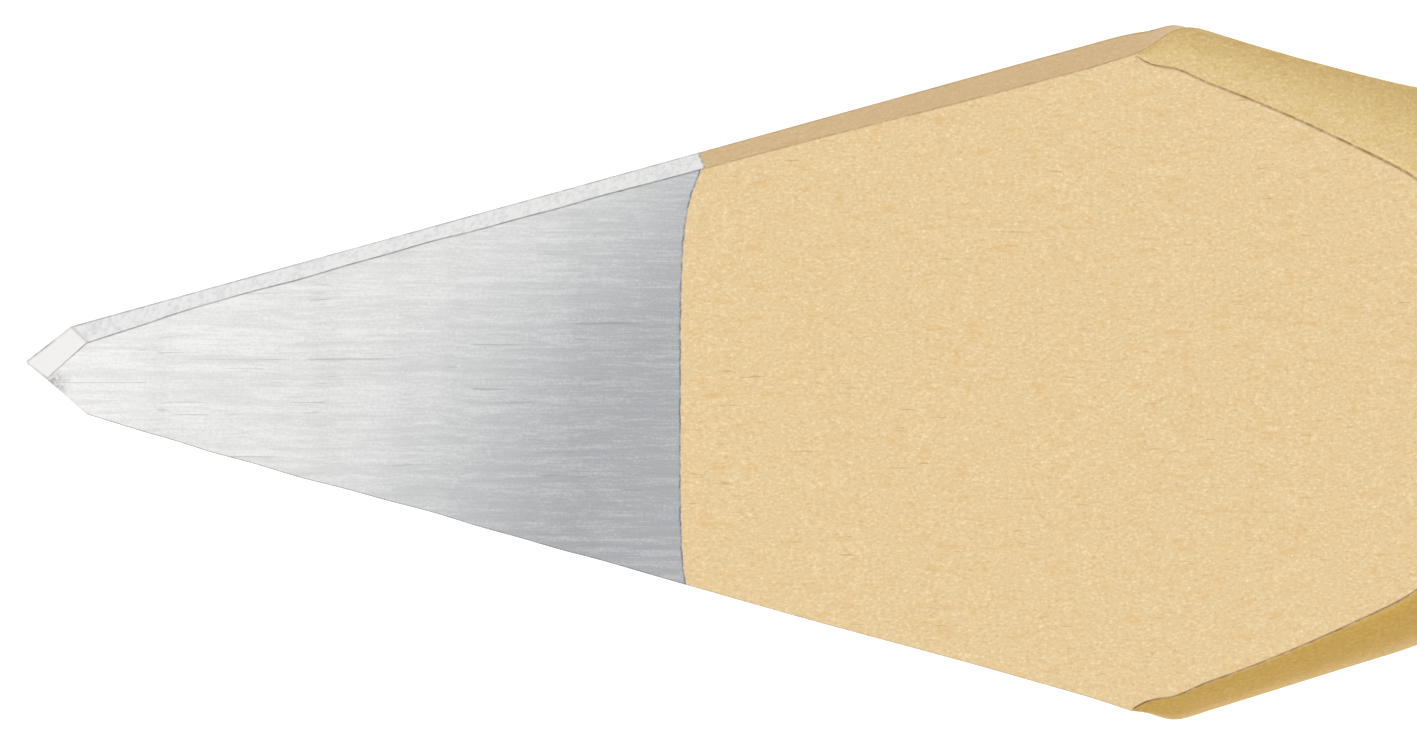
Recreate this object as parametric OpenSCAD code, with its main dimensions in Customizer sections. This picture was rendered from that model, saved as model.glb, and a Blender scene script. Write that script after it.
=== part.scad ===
// Lino cutter: a stamped knife nib held in a collet chuck, on a pear-shaped beech handle
// whose hollow stores four spare gouges on a rack that pulls out with the cap.
// The tool lies along X, point at -X, on the flat cut under the bulb of its handle. The
// origin is on that flat, halfway along the tool. u is the distance back from the point.

/* [Knife nib] */
// Length from the point to the back of the shank
nib_len = 36; // [35:0.5:37]
// Width of the head at its shoulders
head_w = 10; // [9.6:0.1:10.2]
// Length from the point to the shoulders
head_len = 15.5; // [14.6:0.1:16]
// Length behind the shoulders in which the strip is rolled half round
roll_len = 6.5; // [6:0.1:6.7]
// Thickness of the steel strip
sheet_t = 1; // [0.98:0.01:1.1]
// Outer radius of the half-round shank
shank_r = 3.3; // [3.2:0.05:3.3]
// Length of the bare ground steel behind the point
grind_len = 8.8; // [8:0.1:9.5]

/* [Chuck] */
// Distance from the point to the nose of the chuck nut
nose_u = 22.8; // [22.6:0.1:24]
// Length of the chuck nut
nut_len = 15; // [15:0.5:15.5]
// Outer radius of the knurled grip of the nut
nut_r = 6.9; // [6.7:0.1:7.2]
// Grooves round the knurled grip
nut_grooves = 40; // [24:4:48]

/* [Handle] */
// Largest radius of the bulb
bulb_r = 16; // [15:0.5:17]
// Radius at the waist
waist_r = 8.9; // [8.8:0.1:9.5]
// Height of the tool's axis above the flat that it lies on
axis_h = 11.4; // [11.2:0.1:12]
// Outer radius of the ferrule's back rim
ferrule_r = 9.3; // [9.1:0.1:9.6]

/* [Storage] */
// Inner radius of the tube that lines the hollow
tube_r = 8.2; // [8.2:0.05:8.4]
// Distance of each stored gouge's axis from the tool's axis
post_ring_r = 4.4; // [4.3:0.05:4.45]

/* [Hidden] */
$fn = 96;

// Radial or end clearance: of a fixed fit, of a piece that slides or turns, of a shank
fit = 0.02;
slack = 0.08;
shank_fit = 0.06;

// Stations along the tool, measured back from the point
collet_front = nose_u + 1.6;
thread_front = nose_u + 7;
flange_front = nose_u + nut_len + 0.6;
flange_back = flange_front + 2.2;
collet_back = flange_back - 0.3;
core_back = flange_back + 6;
ferrule_cap = 0.8;
wood_front = flange_back + ferrule_cap;
pin_u = flange_back + 8.4;
ferrule_back = wood_front + 13.2;
tang_back = wood_front + 16.4;
hollow_front = 82;
bulb_u = 104;
rack_back = 124;
wood_back = 131.6;
collar_t = 1.6;
cap_front = wood_back + collar_t + 0.2;
cap_len = 6.2;
overall = cap_front + cap_len;
pad_t = 1.5;
tube_front = hollow_front + pad_t + 0.1;
rack_disc = 3;
spare_back = rack_back - rack_disc - slack;
spare_front = spare_back - nib_len;

// Radii
thread_r = 5.4;
collet_bore = shank_r + shank_fit;
collet_r = 4.4;
flare_r = 5.05;
core_r = shank_r - sheet_t - shank_fit;
tang_r = 4;
flange_r = 7.4;
pin_r = 1;
ferrule_t = 0.7;
ferrule_front_r = 8;
ferrule_body_r = ferrule_r - 0.35;
tube_wall = 0.6;
hollow_r = tube_r + tube_wall + fit;
cap_r = 10.9;
plug_r = tube_r - 0.15;
screw_r = 1;
screw_hole_r = screw_r + 0.15;
groove_r = 0.42;

brass = "#c9a24a";
steel = "#b9bcc0";
gilt = "#e0bd7a";
beech = "#c98f52";
felt = "#8d8f86";
acetal = "#2b2b2c";
ivory = "#d8d3c4";
rubber = "#1d1d1f";

// ---------------------------------------------------------------- placing

// Puts a piece drawn from its own front at station u on the tool's axis
module at(u) translate([u - overall / 2, 0, axis_h]) children();

// A turned piece along X, from a profile of [radius, station] pairs
module turned(profile) rotate([0, 90, 0]) rotate_extrude() polygon(profile);

// A rod along X from station a to station b
module rod(r, a, b) translate([a, 0, 0]) rotate([0, 90, 0]) cylinder(r = r, h = b - a);

// A ring of grooves of radius r and length len, cut along X where the radius is depth_r
module knurl(depth_r, count, a, len, turn = 0)
    for (k = [0 : count - 1])
        rotate([360 * (k + turn) / count, 0, 0])
            translate([a, 0, depth_r]) rotate([0, 90, 0]) cylinder(r = groove_r, h = len, $fn = 24);

// A hole or rod of radius r across the tool at station u, centred on its axis
module cross(r, u, len) translate([u, -len / 2, 0]) rotate([-90, 0, 0]) cylinder(r = r, h = len);

function bezier(p, t) =
    p[0] * pow(1 - t, 3) + p[1] * 3 * t * pow(1 - t, 2) + p[2] * 3 * t * t * (1 - t) + p[3] * pow(t, 3);
function curve(p, n) = [for (i = [0 : n]) bezier(p, i / n)];
function mix(a, b, t) = a * (1 - t) + b * t;
function ease(t) = let (c = max(0, min(1, t))) c * c * (3 - 2 * c);

// ---------------------------------------------------------------- strip sections
// A section of the strip is flat out to half width f, then bent through phi degrees at
// outer radius rho, then straight for leg. Heights are from the crown of the outer face.

function strip_span(f, rho, phi, leg) = f + rho * phi * PI / 180 + leg;
function strip_point(s, f, rho, phi, leg, depth) =
    s <= f ? [s, -depth] :
    let (a = min(phi, (s - f) / rho * 180 / PI), l = max(0, s - f - rho * phi * PI / 180))
    [f + (rho - depth) * sin(a) + l * cos(a), (rho - depth) * cos(a) - rho - l * sin(a)];

// One station is [x, lean of the outer face, f, rho, phi, leg, depth of the outer face,
// height that the outer face is ground to, how far the back follows the bend]
strip_n = 24;
function arc_length(st, j) = abs(2 * j / strip_n - 1) * strip_span(st[2], st[3], st[4], st[5]);
function outer_row(st) = [
    for (j = [0 : strip_n])
        let (p = strip_point(arc_length(st, j), st[2], st[3], st[4], st[5], st[6]))
        [st[0] + st[1], sign(2 * j - strip_n) * p[0], shank_r + min(p[1], st[7])]
];
function inner_row(st) = [
    for (j = [0 : strip_n])
        let (
            s = arc_length(st, j),
            y = strip_point(s, st[2], st[3], st[4], st[5], 0)[0],
            p = mix([y, -sheet_t], strip_point(s, st[2], st[3], st[4], st[5], sheet_t), st[8])
        )
        [st[0], sign(2 * j - strip_n) * p[0], shank_r + p[1]]
];

// The closed skin over a list of stations
module strip(stations) {
    n = strip_n + 1;
    ring = 2 * n;
    last = (len(stations) - 1) * ring;
    points = [for (st = stations) each concat(outer_row(st), inner_row(st))];
    function quad(a, b, c, d) = [[a, c, b], [a, d, c]];
    faces = concat(
        [for (i = [0 : len(stations) - 2], j = [0 : strip_n - 1])
            let (a = i * ring + j) each quad(a, a + ring, a + ring + 1, a + 1)],
        [for (i = [0 : len(stations) - 2], j = [0 : strip_n - 1])
            let (a = i * ring + n + j) each quad(a, a + 1, a + ring + 1, a + ring)],
        [for (i = [0 : len(stations) - 2])
            let (a = i * ring) each quad(a, a + n, a + n + ring, a + ring)],
        [for (i = [0 : len(stations) - 2])
            let (a = i * ring + strip_n) each quad(a, a + ring, a + n + ring, a + n)],
        [for (j = [0 : strip_n - 1]) each quad(j, j + 1, n + j + 1, n + j)],
        [for (j = [0 : strip_n - 1]) each quad(last + j, last + n + j, last + n + j + 1, last + j + 1)]
    );
    polyhedron(points, faces, convexity = 6);
}

// ---------------------------------------------------------------- knife nib

point_len = 0.6;
point_half = 0.52;
point_flat = 0.02;
point_lean = 0.3;
edge_lean = 0.12;
lean_start = 10;
lean_ramp = 3;
lean_end = 1.5;
lean_fade = 1.2;
ground_t = 0.56;
hollow_depth = 0.07;
hollow_u = 4;
face_rise = 0.0255;
run_out = 0.008;
shoulder_round = 0.25;
shoulder_cut = 0.035;
shoulder_flare = 0.08;
flare_start = 0.55;
flare_ramp = 0.5;
neck_power = 1.29;
neck_r = 2.05;
neck_r_back = 0.5;
bend_start = 2.05;
bend_ramp = 2.4;
roll_back = 2.8;
back_start = 1;
back_ramp = 2.8;

// Half width of the outline: short point, straight head that flares into rounded
// shoulders, hollow neck
function head_half(u) =
    let (end = head_w / 2 + shoulder_cut - shoulder_flare)
    u < point_len ? mix(point_flat, point_half, u / point_len)
    : mix(point_half, end, (u - point_len) / (head_len - point_len))
        + shoulder_flare * ease((u - head_len + flare_start) / flare_ramp);
function neck_half(u) =
    let (t = min(1, (u - head_len) / roll_len))
    shank_r + (head_w / 2 + shoulder_cut - shank_r) * pow(1 - t, neck_power);
function outline_half(u) =
    let (near = max(0, 1 - abs(u - head_len) / shoulder_round))
    (u < head_len ? head_half(u) : neck_half(u)) - shoulder_cut * near * near;

// Angle through which the strip's edges are rolled over: half way at the shoulders, then
// all the way round to the half-round shank
function bend_at(u) =
    45 * ease((u - head_len + bend_start) / bend_ramp)
    + 45 * ease((u - head_len - roll_back) / (roll_len - roll_back));

// Outer radius of the rolled edges: tight at the neck, the shank's own at the end
function roll_r(u) =
    mix(neck_r, shank_r, ease((u - head_len - neck_r_back) / (roll_len - neck_r_back)));

// Height of the ground face above the back of the strip: hollow behind the point, then
// rising slowly and running out over the neck's crown
function face_height(u) =
    u <= grind_len ? ground_t + hollow_depth * pow((u - hollow_u) / (grind_len - hollow_u), 2)
    : ground_t + hollow_depth + face_rise * (u - grind_len)
        + run_out * pow(max(0, u - head_len - roll_back), 2);

// How far the outer face stands back from the back edge: most at the point
function lean_at(u) =
    point_lean * max(0, 1 - u / (4 * point_len))
    + edge_lean * ease((u - lean_start) / lean_ramp) * (1 - ease((u - head_len + lean_end) / lean_fade));
function knife_station(u) =
    let (phi = bend_at(u), r = roll_r(u))
    [
        u, lean_at(u), outline_half(u) - r * sin(phi), r, phi, 0, 0, face_height(u) - sheet_t,
        ease((u - head_len + back_start) / back_ramp)
    ];
knife_stops = concat(
    [0, point_len, 1.6, 3, 4.4, 6, 7.4, grind_len, 9.8, 11, 12.2],
    [for (d = [2.3, 1.7, 1.3, 1, 0.75, 0.55, 0.4]) head_len - d],
    [for (k = [-3 : 3]) head_len + k * shoulder_round / 3],
    [for (k = [1 : 13]) head_len + shoulder_round + (roll_len - shoulder_round) * k / 13],
    [nib_len]
);
module nib() color(gilt) at(0) strip([for (u = knife_stops) knife_station(u)]);

// ---------------------------------------------------------------- spare gouges

edge_len = 2.4;
edge_t = 0.12;
gouge_body = 15;
// A gouge's head is given as [rho, phi, leg], and its cutting end leans back by rake
module gouge(head, rake) {
    stops = [0, 0.8, 1.6, edge_len, 5, 9, 12, gouge_body, gouge_body + 1.5, gouge_body + 3,
        gouge_body + 4.5, gouge_body + 6, nib_len];
    strip([
        for (u = stops)
            let (
                s = ease((u - gouge_body) / 6),
                d = (sheet_t - edge_t) * max(0, 1 - u / edge_len)
            )
            [u, -rake * max(0, 1 - u / edge_len), 0, mix(head[0], shank_r, s), mix(head[1], 90, s),
                mix(head[2], 0, s), d, 1, 1]
    ]);
}
// Seats a gouge on post k of the rack
module stored(k) at(spare_front) rotate([90 * k + 45, 0, 0]) translate([0, 0, post_ring_r]) children();

module v_liner() color(gilt) stored(0) gouge([1.2, 62, 2.1], 0);
module v_gouge() color(gilt) stored(1) gouge([1.5, 52, 2.8], 0);
module u_gouge() color(gilt) stored(2) gouge([2.1, 86, 1.2], 0);
module wide_gouge() color(gilt) stored(3) gouge([3.7, 66, 0], 0);

// ---------------------------------------------------------------- chuck

nose_open = 4.1;
nose_t = 1.2;
nose_len = 3.7;
grip_back = 12.5;
nut_bore = thread_r + slack;
module chuck_nut() color(brass) at(nose_u) difference() {
    turned([
        [nose_open, 0.3], [nose_open + 0.3, 0], [4.9, 0], [5.3, 0.35], [6.15, nose_len - 0.6],
        [6.15, nose_len], [nut_r - 0.35, nose_len], [nut_r, nose_len + 0.4],
        [nut_r, grip_back - 0.4], [nut_r - 0.35, grip_back], [6.2, grip_back],
        [6.2, grip_back + 0.7], [6.55, grip_back + 0.7], [6.7, grip_back + 0.9],
        [6.7, nut_len - 0.3], [6.4, nut_len], [nut_bore + 0.2, nut_len],
        [nut_bore, nut_len - 0.2], [nut_bore, nose_t], [nose_open, nose_t]
    ]);
    knurl(nut_r + 0.14, nut_grooves, nose_len - 0.7, grip_back - nose_len + 1.2);
}

// Loose cone behind the nose: the nut turns on it, and it closes the collet's fingers
cone_len = 3;
module slip_ring() color(steel) at(nose_u + nose_t + 0.05) turned([
    [4.5, 0], [thread_r, 0], [thread_r, cone_len], [5.22, cone_len]
]);

slot_len = 11;
slot_w = 0.6;
module collet() color(steel) difference() {
    at(collet_front) turned([
        [collet_bore, 0.25], [collet_bore + 0.25, 0], [collet_r - 0.05, 0], [flare_r, cone_len],
        [flare_r, cone_len + 0.3], [collet_r, cone_len + 1.2],
        [collet_r, collet_back - collet_front], [collet_bore, collet_back - collet_front]
    ]);
    for (k = [0 : 1])
        at(collet_front - 1) rotate([90 * k + 45, 0, 0])
            translate([0, -flare_r - 1, -slot_w / 2]) cube([slot_len + 1, 2 * flare_r + 2, slot_w]);
}

// The nib's half-round shank lies over the thin upper part of the core and ends at its step
module core_pin() color(steel) at(0) {
    difference() {
        rod(shank_r, collet_front, collet_back);
        translate([collet_front - 1, -shank_r - 1, -0.05])
            cube([nib_len + 0.1 - collet_front + 1, 2 * shank_r + 2, shank_r + 2]);
    }
    turned([
        [0, collet_front], [core_r - 0.5, collet_front], [core_r, collet_front + 0.5],
        [core_r, core_back], [0, core_back]
    ]);
}

thread_pitch = 1;
thread_depth = 0.36;
thread_turns = 8;
module chuck_base() color(brass) at(0) difference() {
    turned(concat(
        [[0, thread_front], [thread_r - thread_depth, thread_front]],
        [for (k = [0 : thread_turns - 1]) each [
            [thread_r, thread_front + (k + 0.5) * thread_pitch],
            [thread_r - thread_depth, thread_front + (k + 1) * thread_pitch]
        ]],
        [[thread_r - thread_depth, flange_front], [flange_r - 0.3, flange_front],
            [flange_r, flange_front + 0.3], [flange_r, flange_back - 0.3],
            [flange_r - 0.3, flange_back], [tang_r, flange_back], [tang_r, tang_back - 0.8],
            [tang_r - 0.8, tang_back], [0, tang_back]]
    ));
    rod(collet_r + fit, thread_front - 1, collet_back + fit);
    rod(core_r + fit, thread_front - 1, core_back + fit);
    cross(pin_r + fit, pin_u, 4 * tang_r);
}

// ---------------------------------------------------------------- ferrule and handle

ferrule_taper = (ferrule_body_r - ferrule_front_r) / (ferrule_back - flange_back);
pin_half = ferrule_front_r + ferrule_taper * (pin_u - flange_back) - 0.15;
rim_front = ferrule_back - 2.2;
module ferrule() color(brass) at(0) difference() {
    turned([
        [tang_r + fit, flange_back + fit], [ferrule_front_r - 0.5, flange_back + fit],
        [ferrule_front_r, flange_back + 0.5], [ferrule_body_r, rim_front],
        [ferrule_r, rim_front + 0.6], [ferrule_r, ferrule_back - 0.5],
        [ferrule_r - 0.3, ferrule_back], [ferrule_body_r - ferrule_t, ferrule_back],
        [ferrule_body_r - ferrule_t, rim_front], [ferrule_front_r - ferrule_t, wood_front],
        [tang_r + fit, wood_front]
    ]);
    cross(pin_r + fit, pin_u, 3 * ferrule_r);
}

module cross_pin() color(steel) at(0) cross(pin_r, pin_u, 2 * pin_half);

bead_back = ferrule_back + 3.2;
module handle() color(beech) difference() {
    at(0) turned(concat(
        [[tang_r + fit, wood_front + fit], [ferrule_front_r - ferrule_t - fit, wood_front + fit],
            [ferrule_body_r - ferrule_t - fit, rim_front],
            [ferrule_body_r - ferrule_t - fit, ferrule_back + fit], [ferrule_r, ferrule_back + fit]],
        curve([[ferrule_r + 0.1, ferrule_back + 0.1], [ferrule_r + 0.6, ferrule_back + 0.6],
            [ferrule_r + 0.6, bead_back - 0.9], [ferrule_r + 0.1, bead_back - 0.3]], 6),
        [[ferrule_r - 0.25, bead_back - 0.1], [ferrule_r - 0.25, bead_back + 0.3]],
        curve([[ferrule_r + 0.05, bead_back + 0.5], [waist_r - 1, bead_back + 12],
            [bulb_r, bulb_u - 26], [bulb_r, bulb_u]], 28),
        curve([[bulb_r, bulb_u + 0.4], [bulb_r, bulb_u + 14], [cap_r + 3, wood_back - 3],
            [cap_r + 0.2, wood_back]], 18),
        [[hollow_r, wood_back], [hollow_r, hollow_front], [0, hollow_front],
            [0, tang_back + 0.4], [tang_r + fit, tang_back + 0.4]]
    ));
    at(0) cross(pin_r + fit, pin_u, 3 * ferrule_r);
    translate([-overall, -2 * bulb_r, -2 * bulb_r]) cube([2 * overall, 4 * bulb_r, 2 * bulb_r]);
}

// ---------------------------------------------------------------- storage

module felt_pad() color(felt) at(hollow_front + fit) rod(hollow_r - 0.1, 0, pad_t);

module storage_tube() color(brass) at(0) difference() {
    rod(tube_r + tube_wall, tube_front, wood_back);
    rod(tube_r, tube_front - 1, wood_back + 1);
}

module rear_collar() color(brass) at(wood_back + fit) turned([
    [tube_r + 0.05, 0], [cap_r + 0.2, 0], [cap_r + 0.2, collar_t - 0.4], [cap_r, collar_t],
    [tube_r + 0.35, collar_t], [tube_r + 0.05, collar_t - 0.3]
]);

screw_tip = cap_front + 3.4;
module end_cap() color(brass) at(0) difference() {
    turned(concat(
        [[0, cap_front], [cap_r - 0.3, cap_front], [cap_r, cap_front + 0.3],
            [cap_r, cap_front + 2.6], [cap_r - 0.4, cap_front + 3]],
        curve([[cap_r - 0.6, cap_front + 3.1], [cap_r - 1.2, cap_front + 4.8],
            [cap_r - 4, overall], [0, overall]], 14)
    ));
    rod(screw_r + fit, cap_front - 1, screw_tip + 0.2);
    knurl(cap_r + 0.16, nut_grooves, cap_front + 0.4, 2, 0.5);
}

plug_front = rack_back + slack;
ring_wire = 0.75;
ring_u = cap_front - 4.5;
ring_major = tube_r - 0.06 - ring_wire;
groove_floor = ring_major - ring_wire - fit;
module cap_plug() color(acetal) at(0) turned([
    [screw_hole_r, plug_front], [plug_r - 0.4, plug_front], [plug_r, plug_front + 0.4],
    [plug_r, ring_u - ring_wire - 0.1], [groove_floor, ring_u - ring_wire - 0.1],
    [groove_floor, ring_u + ring_wire + 0.1], [plug_r, ring_u + ring_wire + 0.1],
    [plug_r, cap_front - fit], [screw_hole_r, cap_front - fit]
]);

module cap_o_ring() color(rubber) at(ring_u)
    rotate([0, 90, 0]) rotate_extrude() translate([ring_major, 0]) circle(r = ring_wire, $fn = 32);

screw_head = 1.4;
screw_head_r = 1.9;
washer_t = 0.4;
screw_front = rack_back - rack_disc - slack - washer_t - screw_head - fit;
module cap_screw() color(steel) at(screw_front) difference() {
    turned([
        [0, 0], [screw_head_r - 0.5, 0], [screw_head_r, 0.5], [screw_head_r, screw_head],
        [screw_r, screw_head], [screw_r, screw_tip - screw_front], [0, screw_tip - screw_front]
    ]);
    translate([-0.1, -screw_head_r - 1, -0.25]) cube([0.8, 2 * screw_head_r + 2, 0.5]);
}

module cap_washer() color(steel) at(screw_front + screw_head + fit) difference() {
    rod(screw_head_r + 0.15, 0, washer_t);
    rod(screw_hole_r, -1, washer_t + 1);
}

post_len = 13;
module nib_rack() color(ivory) at(0) difference() {
    union() {
        rod(tube_r - 0.35, rack_back - rack_disc, rack_back);
        for (k = [0 : 3])
            rotate([90 * k + 45, 0, 0]) translate([0, 0, post_ring_r])
                rod(core_r, rack_back - rack_disc - post_len, rack_back - rack_disc + 1);
    }
    rod(screw_hole_r, rack_back - rack_disc - 1, rack_back + 1);
}

band_len = 2.4;
module rack_band() color(rubber) at(rack_back - rack_disc - 8) difference() {
    rod(tube_r - 0.15, 0, band_len);
    rod(post_ring_r + shank_r + 0.03, -1, band_len + 1);
}

nib();
chuck_nut();
slip_ring();
collet();
core_pin();
chuck_base();
ferrule();
cross_pin();
handle();
felt_pad();
storage_tube();
rear_collar();
end_cap();
cap_plug();
cap_o_ring();
cap_screw();
cap_washer();
nib_rack();
rack_band();
v_liner();
v_gouge();
u_gouge();
wide_gouge();
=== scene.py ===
import math

import bmesh
import bpy
import numpy as np
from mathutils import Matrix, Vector


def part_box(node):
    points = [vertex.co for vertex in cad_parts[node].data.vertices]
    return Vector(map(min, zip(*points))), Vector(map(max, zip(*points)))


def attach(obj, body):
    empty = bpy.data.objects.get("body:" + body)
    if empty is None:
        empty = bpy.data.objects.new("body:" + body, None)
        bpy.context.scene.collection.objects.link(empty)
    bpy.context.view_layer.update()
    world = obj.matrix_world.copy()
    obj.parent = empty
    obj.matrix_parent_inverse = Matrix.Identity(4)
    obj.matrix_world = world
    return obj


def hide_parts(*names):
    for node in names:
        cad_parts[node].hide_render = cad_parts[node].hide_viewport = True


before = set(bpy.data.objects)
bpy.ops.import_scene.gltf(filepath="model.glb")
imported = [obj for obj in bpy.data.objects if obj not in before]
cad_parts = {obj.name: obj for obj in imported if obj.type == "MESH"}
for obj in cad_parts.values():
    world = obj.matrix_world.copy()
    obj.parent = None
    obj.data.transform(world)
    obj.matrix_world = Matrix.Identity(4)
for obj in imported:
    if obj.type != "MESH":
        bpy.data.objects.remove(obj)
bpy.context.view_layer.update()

# ------------------------------------------------------------------ places, from the frame
# Shapes are worked out in millimetres: u back from the nib's point, y to the side and z up
# from the tool's axis. put() turns them into the frame's metres.
MM = 0.001
TIP_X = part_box("nib")[0].x
AXIS_Z = (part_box("chuck_base")[0].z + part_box("chuck_base")[1].z) / 2


def span(node):
    """First and last station of a node along the tool, in mm from the point."""
    low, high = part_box(node)
    return (low.x - TIP_X) / MM, (high.x - TIP_X) / MM


def radius(node):
    """Largest radius of a turned node, in mm."""
    low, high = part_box(node)
    return (high.y - low.y) / 2 / MM


def put(points):
    """Millimetre points (u, y, z) in the frame's metres."""
    out = np.asarray(points, float) * MM
    out[:, 0] += TIP_X
    out[:, 2] += AXIS_Z
    return out


def clamp(x, low=0.0, high=1.0):
    return max(low, min(high, x))


def mix(a, b, t):
    return a + (b - a) * t


def smooth(t):
    t = clamp(t)
    return t * t * (3 - 2 * t)


# ------------------------------------------------------------------ mesh helpers


def mesh_object(name, points, faces, sharp_deg=32, marks=None, sharp_pairs=()):
    """A closed mesh, smooth except along edges over sharp_deg and along sharp_pairs.
    marks is {attribute: one number per point}."""
    mesh = bpy.data.meshes.new(name)
    mesh.from_pydata(put(points).tolist(), [], faces)
    mesh.validate()
    mesh.shade_smooth()
    mesh.set_sharp_from_angle(angle=math.radians(sharp_deg))
    for key, values in (marks or {}).items():
        layer = mesh.attributes.new(key, "FLOAT", "POINT")
        layer.data.foreach_set("value", np.asarray(values, np.float32))
    if sharp_pairs:
        sharp = mesh.attributes.get("sharp_edge")
        sharp = sharp or mesh.attributes.new("sharp_edge", "BOOLEAN", "EDGE")
        wanted = set(frozenset(p) for p in sharp_pairs)
        for edge in mesh.edges:
            if frozenset(edge.vertices) in wanted:
                sharp.data[edge.index].value = True
    obj = bpy.data.objects.new(name, mesh)
    bpy.context.scene.collection.objects.link(obj)
    return obj


def soften(points, r=0.15, steps=4, closed=True):
    """The polyline of (radius, station) points with every real corner rounded by r."""
    pts = [Vector(p) for p in points]
    out = []
    n = len(pts)
    for i, p in enumerate(pts):
        if not closed and i in (0, n - 1):
            out.append(tuple(p))
            continue
        a, b = pts[i - 1] - p, pts[(i + 1) % n] - p
        if a.length < 1e-6 or b.length < 1e-6:
            continue
        turn = math.pi - a.angle(b)
        if turn < math.radians(12):
            out.append(tuple(p))
            continue
        cut = min(r * math.tan(turn / 2), a.length * 0.45, b.length * 0.45)
        start, end = p + a.normalized() * cut, p + b.normalized() * cut
        for k in range(steps + 1):
            t = k / steps
            q = start * (1 - t) ** 2 + p * 2 * t * (1 - t) + end * t * t
            out.append(tuple(q))
    return out


def refine(points, step, closed=True):
    """Adds points so that no stretch of the profile is longer than step."""
    out = []
    n = len(points)
    for i in range(n if closed else n - 1):
        a, b = Vector(points[i]), Vector(points[(i + 1) % n])
        count = max(1, math.ceil((b - a).length / step))
        out += [tuple(a.lerp(b, k / count)) for k in range(count)]
    return out if closed else out + [tuple(points[-1])]


def lathe(name, profile, angles=120, closed=True, shape=None, centre=(0, 0), sharp_deg=32):
    """Turns a profile of (radius, station) about the tool's axis, or about centre = (y, z).
    A profile point at radius 0 becomes one vertex. angles is a count or a list. shape(r, u,
    angle) may return (new radius, mark), the mark being how deep in a groove the point is."""
    if isinstance(angles, int):
        angles = [2 * math.pi * k / angles for k in range(angles)]
    points, marks, rings = [], [], []
    for r, u in profile:
        start = len(points)
        for a in angles if r > 1e-6 else [0.0]:
            new, mark = shape(r, u, a) if shape else (r, 0.0)
            points.append((u, centre[0] + new * math.sin(a), centre[1] + new * math.cos(a)))
            marks.append(mark)
        rings.append([start + k for k in range(len(points) - start)])
    faces = []
    n = len(angles)
    for a, b in zip(rings, rings[1:] + rings[:1] if closed else rings[1:]):
        for k in range(n):
            m = (k + 1) % n
            if len(a) > 1 and len(b) > 1:
                faces.append((a[k], a[m], b[m], b[k]))
            elif len(a) > 1:
                faces.append((a[k], a[m], b[0]))
            elif len(b) > 1:
                faces.append((a[0], b[m], b[k]))
    obj = mesh_object(name, points, faces, sharp_deg, {"groove": marks})
    turn_outward(obj)
    return obj


def grooved(centre_r, turn, first, last):
    """A shape for lathe(): round grooves cut along X from first to last, the first groove
    turned by a share of their pitch. Also the angles that follow the grooves."""
    pitch = 2 * math.pi / GROOVES

    def shape(r, u, a):
        across = centre_r * math.sin((a / pitch - turn - round(a / pitch - turn)) * pitch)
        if abs(across) >= GROOVE_R or not first <= u <= last or r < centre_r - 1:
            return r, 0.0
        full = math.sqrt(centre_r ** 2 - across ** 2) - math.sqrt(GROOVE_R ** 2 - across ** 2)
        ends = clamp(min(u - first, last - u) / 0.25)
        new = min(r, mix(r, full, ends))
        return new, r - new

    half = GROOVE_HALF / centre_r / pitch
    steps = [-1.03, -0.98, -0.8, -0.5, -0.2, 0.2, 0.5, 0.8, 0.98, 1.03]
    angles = [(k + turn + step * half) * pitch for k in range(GROOVES) for step in steps]
    return shape, angles


def turn_outward(obj):
    """Makes the faces of a closed mesh look outward, by the sign of its volume."""
    mesh = obj.data
    total = 0.0
    for face in mesh.polygons:
        corners = [mesh.vertices[v].co for v in face.vertices]
        for k in range(1, len(corners) - 1):
            total += corners[0].dot(corners[k].cross(corners[k + 1]))
    if total < 0:
        mesh.flip_normals()


def bezier(a, b, c, d, steps):
    """Points along a cubic curve, both ends included."""
    out = []
    for k in range(steps + 1):
        t = k / steps
        out.append(tuple(
            p * (1 - t) ** 3 + q * 3 * t * (1 - t) ** 2 + r * 3 * t * t * (1 - t) + s * t ** 3
            for p, q, r, s in zip(a, b, c, d)))
    return out


# ------------------------------------------------------------------ material helpers


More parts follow.
